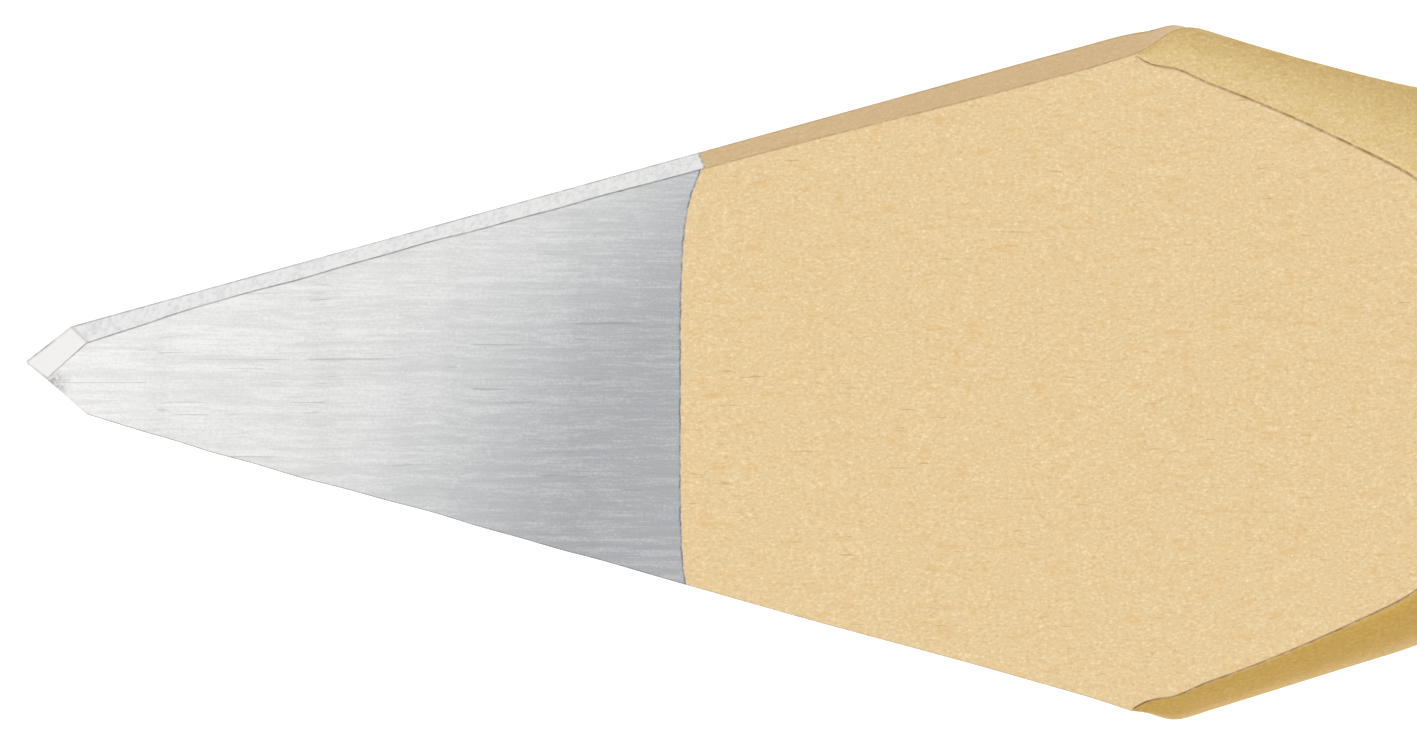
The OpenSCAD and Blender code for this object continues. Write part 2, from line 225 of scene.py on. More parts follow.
class Finish:
    """A material with one Principled shader and short calls for the nodes behind it."""

    def __init__(self, name):
        self.material = bpy.data.materials.new(name)
        self.material.use_nodes = True
        self.tree = self.material.node_tree
        self.shader = self.tree.nodes["Principled BSDF"]
        coords = self.tree.nodes.new("ShaderNodeTexCoord")
        place = self.tree.nodes.new("ShaderNodeMapping")
        place.vector_type = "POINT"
        place.inputs["Location"].default_value = (-TIP_X / MM, 0, -AXIS_Z / MM)
        place.inputs["Scale"].default_value = (1 / MM, 1 / MM, 1 / MM)
        self.tree.links.new(coords.outputs["Object"], place.inputs["Vector"])
        self.mm = place.outputs["Vector"]
        parts = self.tree.nodes.new("ShaderNodeSeparateXYZ")
        self.tree.links.new(self.mm, parts.inputs[0])
        self.u, self.y, self.z = parts.outputs

    def feed(self, socket, value):
        """Links a node's output to a socket, or sets the socket's own value."""
        if isinstance(value, bpy.types.NodeSocket):
            self.tree.links.new(value, socket)
        else:
            socket.default_value = value

    def set(self, **values):
        for key, value in values.items():
            self.feed(self.shader.inputs[key.replace("_", " ")], value)

    def math(self, op, a, b=0.0, c=0.0):
        node = self.tree.nodes.new("ShaderNodeMath")
        node.operation = op
        for socket, value in zip(node.inputs, (a, b, c)):
            self.feed(socket, value)
        return node.outputs[0]

    def mark(self, name):
        """A number stored per point of the mesh."""
        node = self.tree.nodes.new("ShaderNodeAttribute")
        node.attribute_name = name
        return node.outputs["Fac"]

    def scaled(self, x, y, z):
        node = self.tree.nodes.new("ShaderNodeVectorMath")
        node.operation = "MULTIPLY"
        self.feed(node.inputs[0], self.mm)
        node.inputs[1].default_value = (x, y, z)
        return node.outputs[0]

    def noise(self, scale, vector=None, detail=3.0, rough=0.5, distort=0.0):
        node = self.tree.nodes.new("ShaderNodeTexNoise")
        self.feed(node.inputs["Vector"], vector or self.mm)
        settings = {"Scale": scale, "Detail": detail, "Roughness": rough, "Distortion": distort}
        for key, value in settings.items():
            node.inputs[key].default_value = value
        return node.outputs["Fac"]

    def line_noise(self, w, scale, detail=2.0):
        node = self.tree.nodes.new("ShaderNodeTexNoise")
        node.noise_dimensions = "1D"
        self.feed(node.inputs["W"], w)
        node.inputs["Scale"].default_value = scale
        node.inputs["Detail"].default_value = detail
        return node.outputs["Fac"]

    def cells(self, scale):
        node = self.tree.nodes.new("ShaderNodeTexVoronoi")
        self.feed(node.inputs["Vector"], self.mm)
        node.inputs["Scale"].default_value = scale
        return node.outputs["Distance"]

    def ramp(self, value, low, high, out_low=0.0, out_high=1.0, kind="SMOOTHSTEP"):
        node = self.tree.nodes.new("ShaderNodeMapRange")
        node.interpolation_type = kind
        for socket, item in zip(node.inputs, (value, low, high, out_low, out_high)):
            self.feed(socket, item)
        return node.outputs[0]

    def blend(self, fac, a, b, mode="MIX"):
        node = self.tree.nodes.new("ShaderNodeMix")
        node.data_type = "RGBA"
        node.blend_type = mode
        factor, first, second, result = 0, 6, 7, 2  # the RGBA sockets of the Mix node
        for socket, item in ((factor, fac), (first, a), (second, b)):
            is_rgb = isinstance(item, tuple) and len(item) == 3
            self.feed(node.inputs[socket], (*item, 1.0) if is_rgb else item)
        return node.outputs[result]

    def bump(self, height, strength, distance_mm, under=None):
        node = self.tree.nodes.new("ShaderNodeBump")
        node.inputs["Strength"].default_value = strength
        node.inputs["Distance"].default_value = distance_mm * MM
        self.feed(node.inputs["Height"], height)
        if under is not None:
            self.feed(node.inputs["Normal"], under)
        return node.outputs[0]


def dress(obj, material):
    obj.data.materials.clear()
    obj.data.materials.append(material)


def linear(r, g, b):
    """Linear colour of an sRGB colour given as 0 to 255."""
    def one(c):
        c /= 255
        return c / 12.92 if c <= 0.04045 else ((c + 0.055) / 1.055) ** 2.4
    return one(r), one(g), one(b)


# ------------------------------------------------------------------ knife nib shape
# The same formulas and values as the CAD model's nib
SHEET = 1.0  # thickness of the strip
SHANK_R = 3.3  # outer radius of the half-round shank
BACK_Z = SHANK_R - SHEET  # height of the head's flat back
HEAD_HALF, HEAD_LEN = 5.0, 15.5
CORNER_HALF = HEAD_HALF + 0.035  # before the corner is rounded off
POINT_LEN, POINT_HALF, POINT_FLAT = 0.6, 0.52, 0.02
CUT, CUT_REACH = 0.035, 0.25  # rounding of the shoulders
FLARE, FLARE_START, FLARE_RAMP = 0.08, 0.55, 0.5  # widening just before the shoulders
ROLL_LEN, NECK_POWER = 6.5, 1.29
NECK_R, NECK_R_BACK = 2.05, 0.5
BEND_START, BEND_RAMP = 2.05, 2.4  # the edges are bent half over round the shoulders
ROLL_BACK = 2.8  # behind the shoulders they are bent on to the half-round shank
BACK_START, BACK_RAMP = 1.0, 2.8  # the back joins in the bend
GRIND_LEN, GROUND_T = 8.8, 0.56
HOLLOW_DEPTH, HOLLOW_U = 0.07, 4.0
FACE_RISE, RUN_OUT = 0.0255, 0.008
POINT_LEAN, EDGE_LEAN = 0.3, 0.12


def outline_half(u):
    """Half width: short point, straight head that flares into rounded shoulders, neck."""
    if u < POINT_LEN:
        w = mix(POINT_FLAT, POINT_HALF, u / POINT_LEN)
    elif u < HEAD_LEN:
        w = mix(POINT_HALF, CORNER_HALF - FLARE, (u - POINT_LEN) / (HEAD_LEN - POINT_LEN))
        w += FLARE * smooth((u - HEAD_LEN + FLARE_START) / FLARE_RAMP)
    else:
        left = 1 - clamp((u - HEAD_LEN) / ROLL_LEN)
        w = SHANK_R + (CORNER_HALF - SHANK_R) * left ** NECK_POWER
    near = max(0.0, 1 - abs(u - HEAD_LEN) / CUT_REACH)
    return w - CUT * near * near


def bend(u):
    """Angle through which the strip's edges are rolled over: half way at the shoulders,
    then all the way round to the shank."""
    shoulder = smooth((u - HEAD_LEN + BEND_START) / BEND_RAMP)
    shank = smooth((u - HEAD_LEN - ROLL_BACK) / (ROLL_LEN - ROLL_BACK))
    return math.radians(45 * shoulder + 45 * shank)


def roll_radius(u):
    """Outer radius of the rolled edges: tight at the neck, the shank's own at the end."""
    along = (u - HEAD_LEN - NECK_R_BACK) / (ROLL_LEN - NECK_R_BACK)
    return mix(NECK_R, SHANK_R, smooth(along))


def face_height(u):
    """Height of the ground face over the back of the strip. Unlike the CAD model's, the
    steel part wavers by up to 0.03 mm, as hand grinding leaves it."""
    if u <= GRIND_LEN:
        hollow = HOLLOW_DEPTH * ((u - HOLLOW_U) / (GRIND_LEN - HOLLOW_U)) ** 2
        waver = 0.02 * math.sin(2.1 * u) + 0.012 * math.sin(5.3 * u + 1)
        waver *= smooth((u - POINT_LEN) / 2) * smooth((GRIND_LEN - u) / 2)
        return GROUND_T + hollow + waver
    rise = FACE_RISE * (u - GRIND_LEN)
    return GROUND_T + HOLLOW_DEPTH + rise + RUN_OUT * max(0.0, u - HEAD_LEN - ROLL_BACK) ** 2


def lean_at(u):
    """How far the outer face stands back from the back edge: most at the point."""
    at_point = POINT_LEAN * max(0.0, 1 - u / (4 * POINT_LEN))
    return at_point + EDGE_LEAN * smooth((u - 10) / 3) * (1 - smooth((u - HEAD_LEN + 1.5) / 1.2))


def bent(s, flat, rho, turn, leg, depth):
    """The point at s along a section that is flat, then an arc, then a straight leg.
    Its height is counted from the crown of the outer face."""
    if s <= flat:
        return s, -depth
    a = min(turn, (s - flat) / rho)
    rest = max(0.0, s - flat - rho * turn)
    return (flat + (rho - depth) * math.sin(a) + rest * math.cos(a),
            (rho - depth) * math.cos(a) - rho - rest * math.sin(a))


def knife_row(u, flat_cols, roll_cols):
    """Outer and inner points of one station, from -y to +y, and whether a crease shows.
    The marks say where a point lies: on a rolled edge (0.5 at the crease, 1 at the outline,
    with the side's sign), in the crease, or on the rim."""
    tiny = 1e-9
    turn, rho = bend(u), roll_radius(u)
    flat = outline_half(u) - rho * math.sin(turn)
    half = flat + rho * turn
    drop = max(0.0, SHEET - face_height(u))
    crease = flat + rho * math.acos(1 - drop / rho)
    rim = 0.016 * clamp(half / 0.5, 0.2)
    open_crease = crease < half - 2.2 * rim
    crease = clamp(crease, 0.2 * half, half - 2 * rim)
    hair = 0.018 if open_crease and u < 20 else 0.0
    side = [mix(crease, half - rim, (i / roll_cols) ** 1.3) for i in range(1, roll_cols + 1)]
    inside = [crease * i / flat_cols for i in range(flat_cols - 1)]
    pos = inside + [crease - 0.03 * min(1.0, half), crease] + side + [half]
    row = [-s for s in pos[:0:-1]] + pos
    rolled = smooth((u - HEAD_LEN + BACK_START) / BACK_RAMP)
    outer, inner, roll, line, rims = [], [], [], [], []
    for s in row:
        sign, s = (-1 if s < 0 else 1), abs(s)
        on_crease, on_rim = abs(s - crease) < tiny, s >= half - tiny
        across = 0.5 + 0.5 * (s - crease) / (half - crease)
        roll.append(sign * (across if open_crease and s > crease + tiny else 0.0))
        line.append(1.0 if hair and on_crease else 0.0)
        rims.append(1.0 if on_rim else 0.0)
        y, z = bent(s, flat, rho, turn, 0, 0)
        y_back, z_back = bent(s, flat, rho, turn, 0, SHEET)
        y_back = mix(y, y_back, rolled)
        z_back = mix(-SHEET, z_back, rolled)
        z = min(z, face_height(u) - SHEET)
        if on_rim:
            z -= 0.01 * min(1.0, half / 0.5)
        if on_crease:
            z -= hair
        outer.append((u + lean_at(u), sign * y, SHANK_R + z))
        inner.append((u, sign * y_back, SHANK_R + z_back))
    return outer, inner, open_crease, {"roll": roll, "line": line, "rim": rims}


def strip_mesh(name, rows, sharp_pairs_of=None):
    """Skins rows of (outer points, inner points) into a closed strip with side walls."""
    wall = 5  # faces across a side wall
    points, marks = [], {"wall": []}
    n = len(rows[0][0])
    ring = 2 * n + 2 * (wall - 1)
    for outer, inner, _, row_marks in rows:
        def between(a, b):
            return [tuple(mix(p, q, k / wall) for p, q in zip(a, b)) for k in range(1, wall)]
        right = between(outer[-1], inner[-1])
        left = between(inner[0], outer[0])
        points += outer + right + inner[::-1] + left
        marks["wall"] += [0.0] * n + [1.0] * (wall - 1) + [0.0] * n + [1.0] * (wall - 1)
        for key, row in row_marks.items():
            carried = row if key == "roll" else [0.0] * n
            right_wall, left_wall = [carried[-1]] * (wall - 1), [carried[0]] * (wall - 1)
            marks.setdefault(key, [])
            marks[key] += row + right_wall + carried[::-1] + left_wall
    faces = []
    for i in range(len(rows) - 1):
        for j in range(ring):
            m = (j + 1) % ring
            a, b = i * ring, (i + 1) * ring
            faces.append((a + j, a + m, b + m, b + j))
    faces += cap_faces(0, n, wall, ring, False)
    faces += cap_faces((len(rows) - 1) * ring, n, wall, ring, True)
    pairs = sharp_pairs_of(ring) if sharp_pairs_of else ()
    obj = mesh_object(name, points, faces, 30, marks, pairs)
    turn_outward(obj)
    return obj


def cap_faces(base, n, wall, ring, flip):
    """Closes one end of a strip: quads between the outer and the inner points."""
    faces = []
    top = list(range(base, base + n))
    low = [base + 2 * n + wall - 2 - j for j in range(n)]
    for j in range(n - 1):
        quad = (top[j], low[j], low[j + 1], top[j + 1])
        if j == 0:
            quad = (top[0], *[base + ring - k for k in range(1, wall)], low[0], low[1], top[1])
        if j == n - 2:
            side = [base + n + wall - 2 - k for k in range(wall - 1)]
            quad = (top[j], low[j], low[j + 1], *side, top[j + 1])
        faces.append(quad[::-1] if flip else quad)
    return faces


def stations(*stretches):
    """Stations along a strip: each stretch is (from, to, step)."""
    out = []
    for a, b, step in stretches:
        count = max(1, round((b - a) / step))
        out += [mix(a, b, k / count) for k in range(count)]
    return out + [stretches[-1][1]]


def make_knife():
    flat_cols, roll_cols = 34, 12
    last = span("nib")[1]
    stops = stations((0, 0.6, 0.05), (0.6, 1.8, 0.06), (1.8, 14.4, 0.15), (14.4, 16.4, 0.05),
                     (16.4, 22.4, 0.1), (22.4, last, 0.8))
    rows = [knife_row(u, flat_cols, roll_cols) for u in stops]
    half = flat_cols + roll_cols + 1

    def crease_pairs(ring):
        pairs = []
        for i in range(len(rows) - 1):
            if rows[i][2] and rows[i + 1][2]:
                for j in (half - flat_cols, half + flat_cols):
                    pairs.append((i * ring + j, (i + 1) * ring + j))
        return pairs

    return strip_mesh("knife_nib", rows, sharp_pairs_of=crease_pairs)


# ------------------------------------------------------------------ stored gouges
EDGE_LEN, EDGE_T = 2.4, 0.12
BODY_LEN, GATHER = 15, 6  # the head's section, then the length that turns it half round
POST_RING = 4.4


def post_turn(k):
    """Angle about the tool's axis at which post k of the rack stands."""
    return math.radians(90 * k + 45)


def make_gouge(name, head, k):
    """The gouge on post k of the rack; head is (outer radius, half angle, straight leg)."""
    first, last = span(name)
    turn = post_turn(k)

    def stow(u, y, z):
        z += SHANK_R + POST_RING
        c, s = math.cos(turn), math.sin(turn)
        return first + u, y * c - z * s, y * s + z * c

    rows = []
    columns = 24
    length = last - first
    for u in stations((0, 0.3, 0.1), (0.3, EDGE_LEN, 0.35), (EDGE_LEN, EDGE_LEN + 0.03, 0.03),
                      (EDGE_LEN + 0.03, BODY_LEN, 2.1), (BODY_LEN, BODY_LEN + GATHER, 0.5),
                      (BODY_LEN + GATHER, length - 0.15, 3.5), (length - 0.15, length, 0.15)):
        s = smooth((u - BODY_LEN) / GATHER)
        rho, phi = mix(head[0], SHANK_R, s), mix(math.radians(head[1]), math.pi / 2, s)
        leg = mix(head[2], 0, s)
        thinned = (SHEET - EDGE_T) * max(0.0, 1 - u / EDGE_LEN)
        reach = rho * phi + leg
        outer, inner = [], []
        for j in range(2 * columns + 1):
            at = reach * (j / columns - 1)
            sign = -1 if at < 0 else 1
            y, z = bent(abs(at), 0, rho, phi, leg, thinned)
            outer.append(stow(u, sign * y, z))
            y, z = bent(abs(at), 0, rho, phi, leg, SHEET)
            inner.append(stow(u, sign * y, z))
        ground = 1.0 if u <= EDGE_LEN + 1e-6 else 0.0
        rows.append((outer, inner, False, {"ground": [ground] * len(outer)}))
    return strip_mesh(name + "_pressed", rows)


# ------------------------------------------------------------------ turned pieces
FIT = 0.02
GROOVE_R, GROOVE_HALF, GROOVES = 0.42, 0.39, 40
nose, nut_back = span("chuck_nut")
nut_r = radius("chuck_nut")
thread_front, tang_back = span("chuck_base")
flange_front = nut_back + 0.6
flange_back, ferrule_back = span("ferrule")
flange_back -= FIT
wood_front, wood_back = span("handle")
wood_front -= FIT
bulb_r, bulb_u, waist_r = radius("handle"), 104.0, 8.9
ferrule_r = radius("ferrule")
hollow_front, hollow_r = span("felt_pad")[0] - FIT, radius("storage_tube") + FIT
cap_front, cap_back = span("end_cap")
cap_r = 10.9
SCREW_HOLE_R = 1.15
flat_h = AXIS_Z / MM


def make_nut():
    """The chuck nut: cone, knurled grip, rim behind a groove, and a plain bore."""
    shape, angles = grooved(nut_r + 0.14, 0, nose + 3, nose + 13)
    profile = [(4.1, 0.3), (4.4, 0), (4.9, 0), (5.3, 0.35), (6.15, 3.1), (6.15, 3.7), (6.55, 3.7),
               (6.9, 4.1), (6.9, 12.1), (6.55, 12.5), (6.2, 12.5), (6.2, 13.2), (6.55, 13.2),
               (6.7, 13.4), (6.7, 14.7), (6.4, 15), (5.68, 15), (5.48, 14.8), (5.48, 1.2), (4.1, 1.2)]
    profile = [(r, u + nose) for r, u in profile]
    return lathe("knurled_nut", refine(soften(profile, 0.1), 0.45), angles, shape=shape)


def make_base():
    """The chuck's body: helical thread, flange, and the tang in the handle."""
    root, depth, pitch = 5.04, 0.36, 1.0

    def shape(r, u, a):
        if abs(r - root) > 0.01 or not thread_front + 0.05 < u < flange_front - 0.05:
            return r, 0.0
        turn = (u - thread_front) / pitch - a / (2 * math.pi)
        ridge = clamp(1.2 * (1 - abs(2 * (turn % 1) - 1)) - 0.1)
        ridge *= clamp((u - thread_front - 0.1) / 0.8) * clamp((flange_front - 0.3 - u) / 0.5)
        return r + depth * ridge, depth * (1 - ridge)

    core_back, collet_back = 46.62, 40.32
    count = round((flange_front - thread_front) / 0.05)
    thread = [(root, thread_front + 0.05 * k) for k in range(count + 1)]
    body = [(7.1, flange_front), (7.4, flange_front + 0.3), (7.4, flange_back - 0.3),
            (7.1, flange_back), (4, flange_back), (4, tang_back - 0.8), (3.2, tang_back),
            (0, tang_back), (0, core_back), (2.26, core_back), (2.26, collet_back),
            (4.42, collet_back), (4.42, thread_front)]
    return lathe("threaded_base", thread + body, 144, shape=shape)


def make_handle():
    """Turned beech, with the flat that it rests on and the hollow for the gouges."""
    rim = ferrule_back - 2.2
    bead = ferrule_back + 3.2
    r = ferrule_r
    profile = [(4.02, wood_front + FIT), (7.28, wood_front + FIT), (r - 1.07, rim),
               (r - 1.07, ferrule_back + FIT), (r, ferrule_back + FIT)]
    profile += bezier((r + 0.1, ferrule_back + 0.1), (r + 0.6, ferrule_back + 0.6),
                      (r + 0.6, bead - 0.9), (r + 0.1, bead - 0.3), 12)
    profile += soften([(r - 0.1, bead - 0.2), (r - 0.25, bead - 0.1), (r - 0.25, bead + 0.3),
                       (r - 0.05, bead + 0.45)], 0.12, closed=False)
    profile += bezier((r + 0.05, bead + 0.5), (waist_r - 1, bead + 12), (bulb_r, bulb_u - 26),
                      (bulb_r, bulb_u), 64)
    profile += bezier((bulb_r, bulb_u + 0.4), (bulb_r, bulb_u + 14), (cap_r + 3, wood_back - 3),
                      (cap_r + 0.2, wood_back), 36)
    profile += [(hollow_r + 0.3, wood_back), (hollow_r, wood_back - 0.3), (hollow_r, hollow_front),
                (0, hollow_front), (0, tang_back + 0.4), (4.02, tang_back + 0.4)]

    def shape(r, u, a):
        """Cuts the bulb off at the flat, with the edge eased over the width k."""
        down = -math.cos(a)
        if down <= 0.05 or r < 10:
            return r, 0.0
        limit, k = flat_h / down, 0.7
        h = clamp(0.5 + 0.5 * (limit - r) / k)
        new = mix(limit, r, h) - k * h * (1 - h)
        return (limit if h <= 0 else new), clamp(r - new)

    return lathe("turned_handle", profile, 288, shape=shape, sharp_deg=40)


def make_cap():
    """The brass cap: a knurled rim, a domed back and the blind hole of its screw."""
    f = cap_front
    shape, angles = grooved(cap_r + 0.16, 0.5, f + 0.25, f + 2.55)
    profile = [(0, f + 3.6), (1.02, f + 3.6), (1.02, f), (cap_r - 0.3, f), (cap_r, f + 0.3),
               (cap_r, f + 2.6), (cap_r - 0.4, f + 3)]
    dome = bezier((cap_r - 0.6, f + 3.1), (cap_r - 1.2, f + 4.8), (cap_r - 4, cap_back),
                  (0, cap_back), 40)
    profile = refine(soften(profile, 0.12, closed=False), 0.18, closed=False) + dome
    return lathe("domed_cap", profile, angles, closed=False, shape=shape)


def make_plug():
    """The cap's spigot, with the seal's groove and the screw's hole."""
    front, back = span("cap_plug")
    r, seal = radius("cap_plug"), span("cap_o_ring")
    a, b = seal[0] - 0.1, seal[1] + 0.1
    deep = radius("cap_o_ring") - 1.52
    profile = [(SCREW_HOLE_R, front), (r - 0.4, front), (r, front + 0.4), (r, a), (deep, a), (deep, b),
               (r, b), (r, back), (SCREW_HOLE_R, back)]
    return lathe("cap_stopper", soften(profile, 0.08), 144)


def make_rack():
    """The nylon disc with its four round-tipped posts."""
    front, back = span("nib_rack")
    disc = back - 3
    r = radius("nib_rack")
    profile = [(SCREW_HOLE_R, disc), (r, disc), (r, back), (SCREW_HOLE_R, back)]
    parts = [lathe("rack_disc", soften(profile, 0.25), 144)]
    profile = [(0, front), (2.24, front), (2.24, disc + 0.5), (0, disc + 0.5)]
    post = soften(profile, 0.3, closed=False)
    for k in range(4):
        turn = post_turn(k)
        centre = (-POST_RING * math.sin(turn), POST_RING * math.cos(turn))
        parts.append(lathe("rack_post", refine(post, 1.5, False), 64, closed=False, centre=centre))
    return joined("gouge_rack", parts)


def joined(name, parts):
    """One object with the meshes of several."""
    whole = bmesh.new()
    for part in parts:
        whole.from_mesh(part.data)
        bpy.data.objects.remove(part)
    mesh = bpy.data.meshes.new(name)
    whole.to_mesh(mesh)
    whole.free()
    obj = bpy.data.objects.new(name, mesh)
    bpy.context.scene.collection.objects.link(obj)
    return obj


def ring(name, node, inner, r, step=None):
    """A plain turned ring or disc that fills a node's length out to its radius."""
    a, b = span(node)
    out = radius(node)
    hollow = inner > 0
    profile = soften([(inner, a), (out, a), (out, b), (inner, b)], r, closed=hollow)
    profile = refine(profile, step, hollow) if step else profile
    return lathe(name, profile, closed=hollow)


def make_seal():
    a, b = span("cap_o_ring")
    wire = (b - a) / 2
    middle, steps = radius("cap_o_ring") - wire, 28
    angles = [2 * math.pi * k / steps for k in range(steps)]
    circle = [(middle + wire * math.cos(t), a + wire + wire * math.sin(t)) for t in angles]
    return lathe("o_ring_seal", circle)


def make_cone():
    a, b = span("slip_ring")
    return lathe("closing_cone", soften([(4.5, a), (5.4, a), (5.4, b), (5.22, b)], 0.08))


def make_collar():
    a, b = span("rear_collar")
    profile = [(8.25, a), (11.1, a), (11.1, b - 0.4), (10.9, b), (8.55, b), (8.25, b - 0.3)]
    return lathe("mouth_collar", soften(profile, 0.1), 180)


# ------------------------------------------------------------------ finishes


def knife_finish():
    """Matte gold coating, ground off to brushed bare steel behind the point."""
    f = Finish("gold_and_ground_steel")
    mark = f.mark("wall")
    wall = f.ramp(mark, 0.02, 0.12)
    broken = f.ramp(f.noise(5.0, detail=5.0, rough=0.7), 0.35, 0.62, 0.25, 1.0)
    outline = knife_outline(f, mark, wall, broken)
    coated, lip = coating_edge(f, wall)
    bare, lines = bare_steel(f, wall, outline)
    gold, grain = gold_coating(f, mark, wall, outline, broken)

    colour = f.blend(coated, bare, gold)
    colour = f.blend(lip, colour, linear(84, 84, 86))
    f.set(Base_Color=colour, Metallic=f.math("MULTIPLY_ADD", coated, -0.35, 1.0))
    f.set(Roughness=f.math("MULTIPLY_ADD", lines, 0.10, f.ramp(coated, 0, 1, 0.28, 0.44)))
    rough = f.math("MULTIPLY", f.math("SUBTRACT", 1.0, coated), lines)
    pebbles = f.math("MULTIPLY", coated, grain)
    f.set(Normal=f.bump(pebbles, 0.5, 0.012, f.bump(rough, 0.25, 0.008)))
    return f.material


def knife_outline(f, mark, wall, broken):
    """A thin broken line of painted shade along the edges of the face and of the side wall."""
    face = f.ramp(mark, 0.0, 0.03, 1.0, 0.0)
    corner = f.math("MULTIPLY", f.ramp(mark, 0.0, 0.03), f.ramp(mark, 0.05, 0.18, 1.0, 0.0))
    hem = f.math("MULTIPLY", wall, f.ramp(f.z, BACK_Z + 0.02, BACK_Z + 0.07, 1.0, 0.0))
    brink = f.math("MULTIPLY", face, f.ramp(f.mark("rim"), 0.1, 0.8))
    return f.math("MULTIPLY", broken, f.math("MAXIMUM", corner, f.math("MAXIMUM", hem, brink)))


def coating_edge(f, wall):
    """Where the grinding ends: nearly straight, running back along the edges. The first
    mask is 1 on the coating, the second is a thin dark line along its edge."""
    y = f.math("MINIMUM", f.math("MAXIMUM", f.y, -3.0), 3.0)
    top = f.math("EXPONENT", f.math("MULTIPLY_ADD", y, 1 / 0.55, -2.95 / 0.55))
    low = f.math("EXPONENT", f.math("MULTIPLY_ADD", y, -1 / 0.4, -2.95 / 0.4))
    sweep = f.math("MULTIPLY_ADD", top, 0.25, f.math("MULTIPLY", low, 0.07))
    ragged = f.math("SUBTRACT", f.noise(3.4, f.scaled(0.2, 1, 1), detail=9.0, rough=0.75), 0.5)
    edge = f.math("ADD", f.math("MULTIPLY_ADD", ragged, 0.07, sweep), 8.77)
    slant = f.math("MULTIPLY_ADD", f.z, 0.14, 0.05 - 0.14 * 2.86)
    edge = f.math("MULTIPLY_ADD", wall, slant, edge)
    past = f.math("SUBTRACT", f.u, edge)
    coated = f.ramp(past, -0.008, 0.008)
    lip = f.math("MULTIPLY", f.ramp(past, -0.03, 0.0), f.ramp(past, 0.0, 0.014, 1.0, 0.0))
    lip = f.math("MULTIPLY", lip, f.ramp(f.noise(9.0, detail=3.0), 0.35, 0.6, 0.15, 0.75))
    return coated, lip


def bare_steel(f, wall, outline):
    """Soft lines along the blade, broken by a fine tooth, with a painted reflection: bright at the
    point, darker towards the coating.
    """
    streak = f.noise(1.0, f.scaled(0.5, 11, 11), detail=6.0, rough=0.66)
    fine = f.noise(1.0, f.scaled(3.2, 40, 40), detail=3.0, rough=0.7)
    tooth = f.noise(26.0, detail=3.0, rough=0.8)
    lines = f.math("MULTIPLY_ADD", fine, 0.27, f.math("MULTIPLY", tooth, 0.33))
    lines = f.math("MULTIPLY_ADD", streak, 0.4, lines)
    # painted reflection: the bare steel is painted from bright at the point to grey towards the
    # coating
    side_on = f.math("POWER", f.math("MAXIMUM", f.y, 0.0), 1.3)
    along = f.math("MULTIPLY_ADD", side_on, -0.25, f.math("MULTIPLY_ADD", f.y, -0.42, f.u))
    bare = f.blend(f.ramp(along, 0.4, 5.2, kind="LINEAR"), linear(203, 202, 200),
                   linear(188, 188, 187))
    bare = f.blend(f.ramp(along, 4.3, 8.4), bare, linear(147, 148, 150))
    bare = f.blend(f.ramp(lines, 0.42, 0.55, 0.20, 0.0, "LINEAR"), bare, linear(112, 116, 121))
    bare = f.blend(f.ramp(lines, 0.50, 0.64, 0.0, 0.20, "LINEAR"), bare, linear(226, 228, 230))
    scratch = f.noise(1.0, f.scaled(0.35, 24, 24), detail=1.0)
    bare = f.blend(f.ramp(scratch, 0.30, 0.24, 0.0, 0.30), bare, linear(96, 101, 108))
    # painted shade: a dark patch on the rounded burr just behind the point
    du, dy = f.math("SUBTRACT", f.u, 0.38), f.math("ADD", f.y, 0.08)
    away = f.math("SQRT", f.math("ADD", f.math("MULTIPLY", du, du), f.math("MULTIPLY", dy, dy)))
    painted_tip_shade = f.math("MULTIPLY", f.ramp(away, 0.02, 0.26, 1.0, 0.0), f.ramp(tooth, 0.4, 0.6, 1.0, 0.3))
    bare = f.blend(f.math("MULTIPLY", painted_tip_shade, 0.7), bare, linear(98, 106, 106))
    cross = f.noise(1.0, f.scaled(13, 6, 6), detail=5.0, rough=0.6)
    side = f.blend(f.ramp(cross, 0.38, 0.56, 0.5, 0.0), linear(212, 212, 212), linear(182, 184, 187))
    # painted highlight on the point's facet, and painted shade as a dark line along its edge
    facet = f.math("MULTIPLY_ADD", f.z, -0.4, f.math("ADD", f.u, 0.4 * BACK_Z))
    side = f.blend(f.ramp(facet, 0.60, 0.63, 1.0, 0.0), side, linear(220, 218, 217))
    bevel = f.math("MULTIPLY", f.ramp(facet, 0.57, 0.60), f.ramp(facet, 0.60, 0.64, 1.0, 0.0))
    side = f.blend(f.math("MULTIPLY", bevel, 0.5), side, linear(150, 152, 154))
    bare = f.blend(wall, bare, side)
    # painted shade: a dark line along the edges of the face and the side wall
    bare = f.blend(f.math("MULTIPLY", outline, 0.75), bare, linear(112, 115, 119))
    return bare, lines


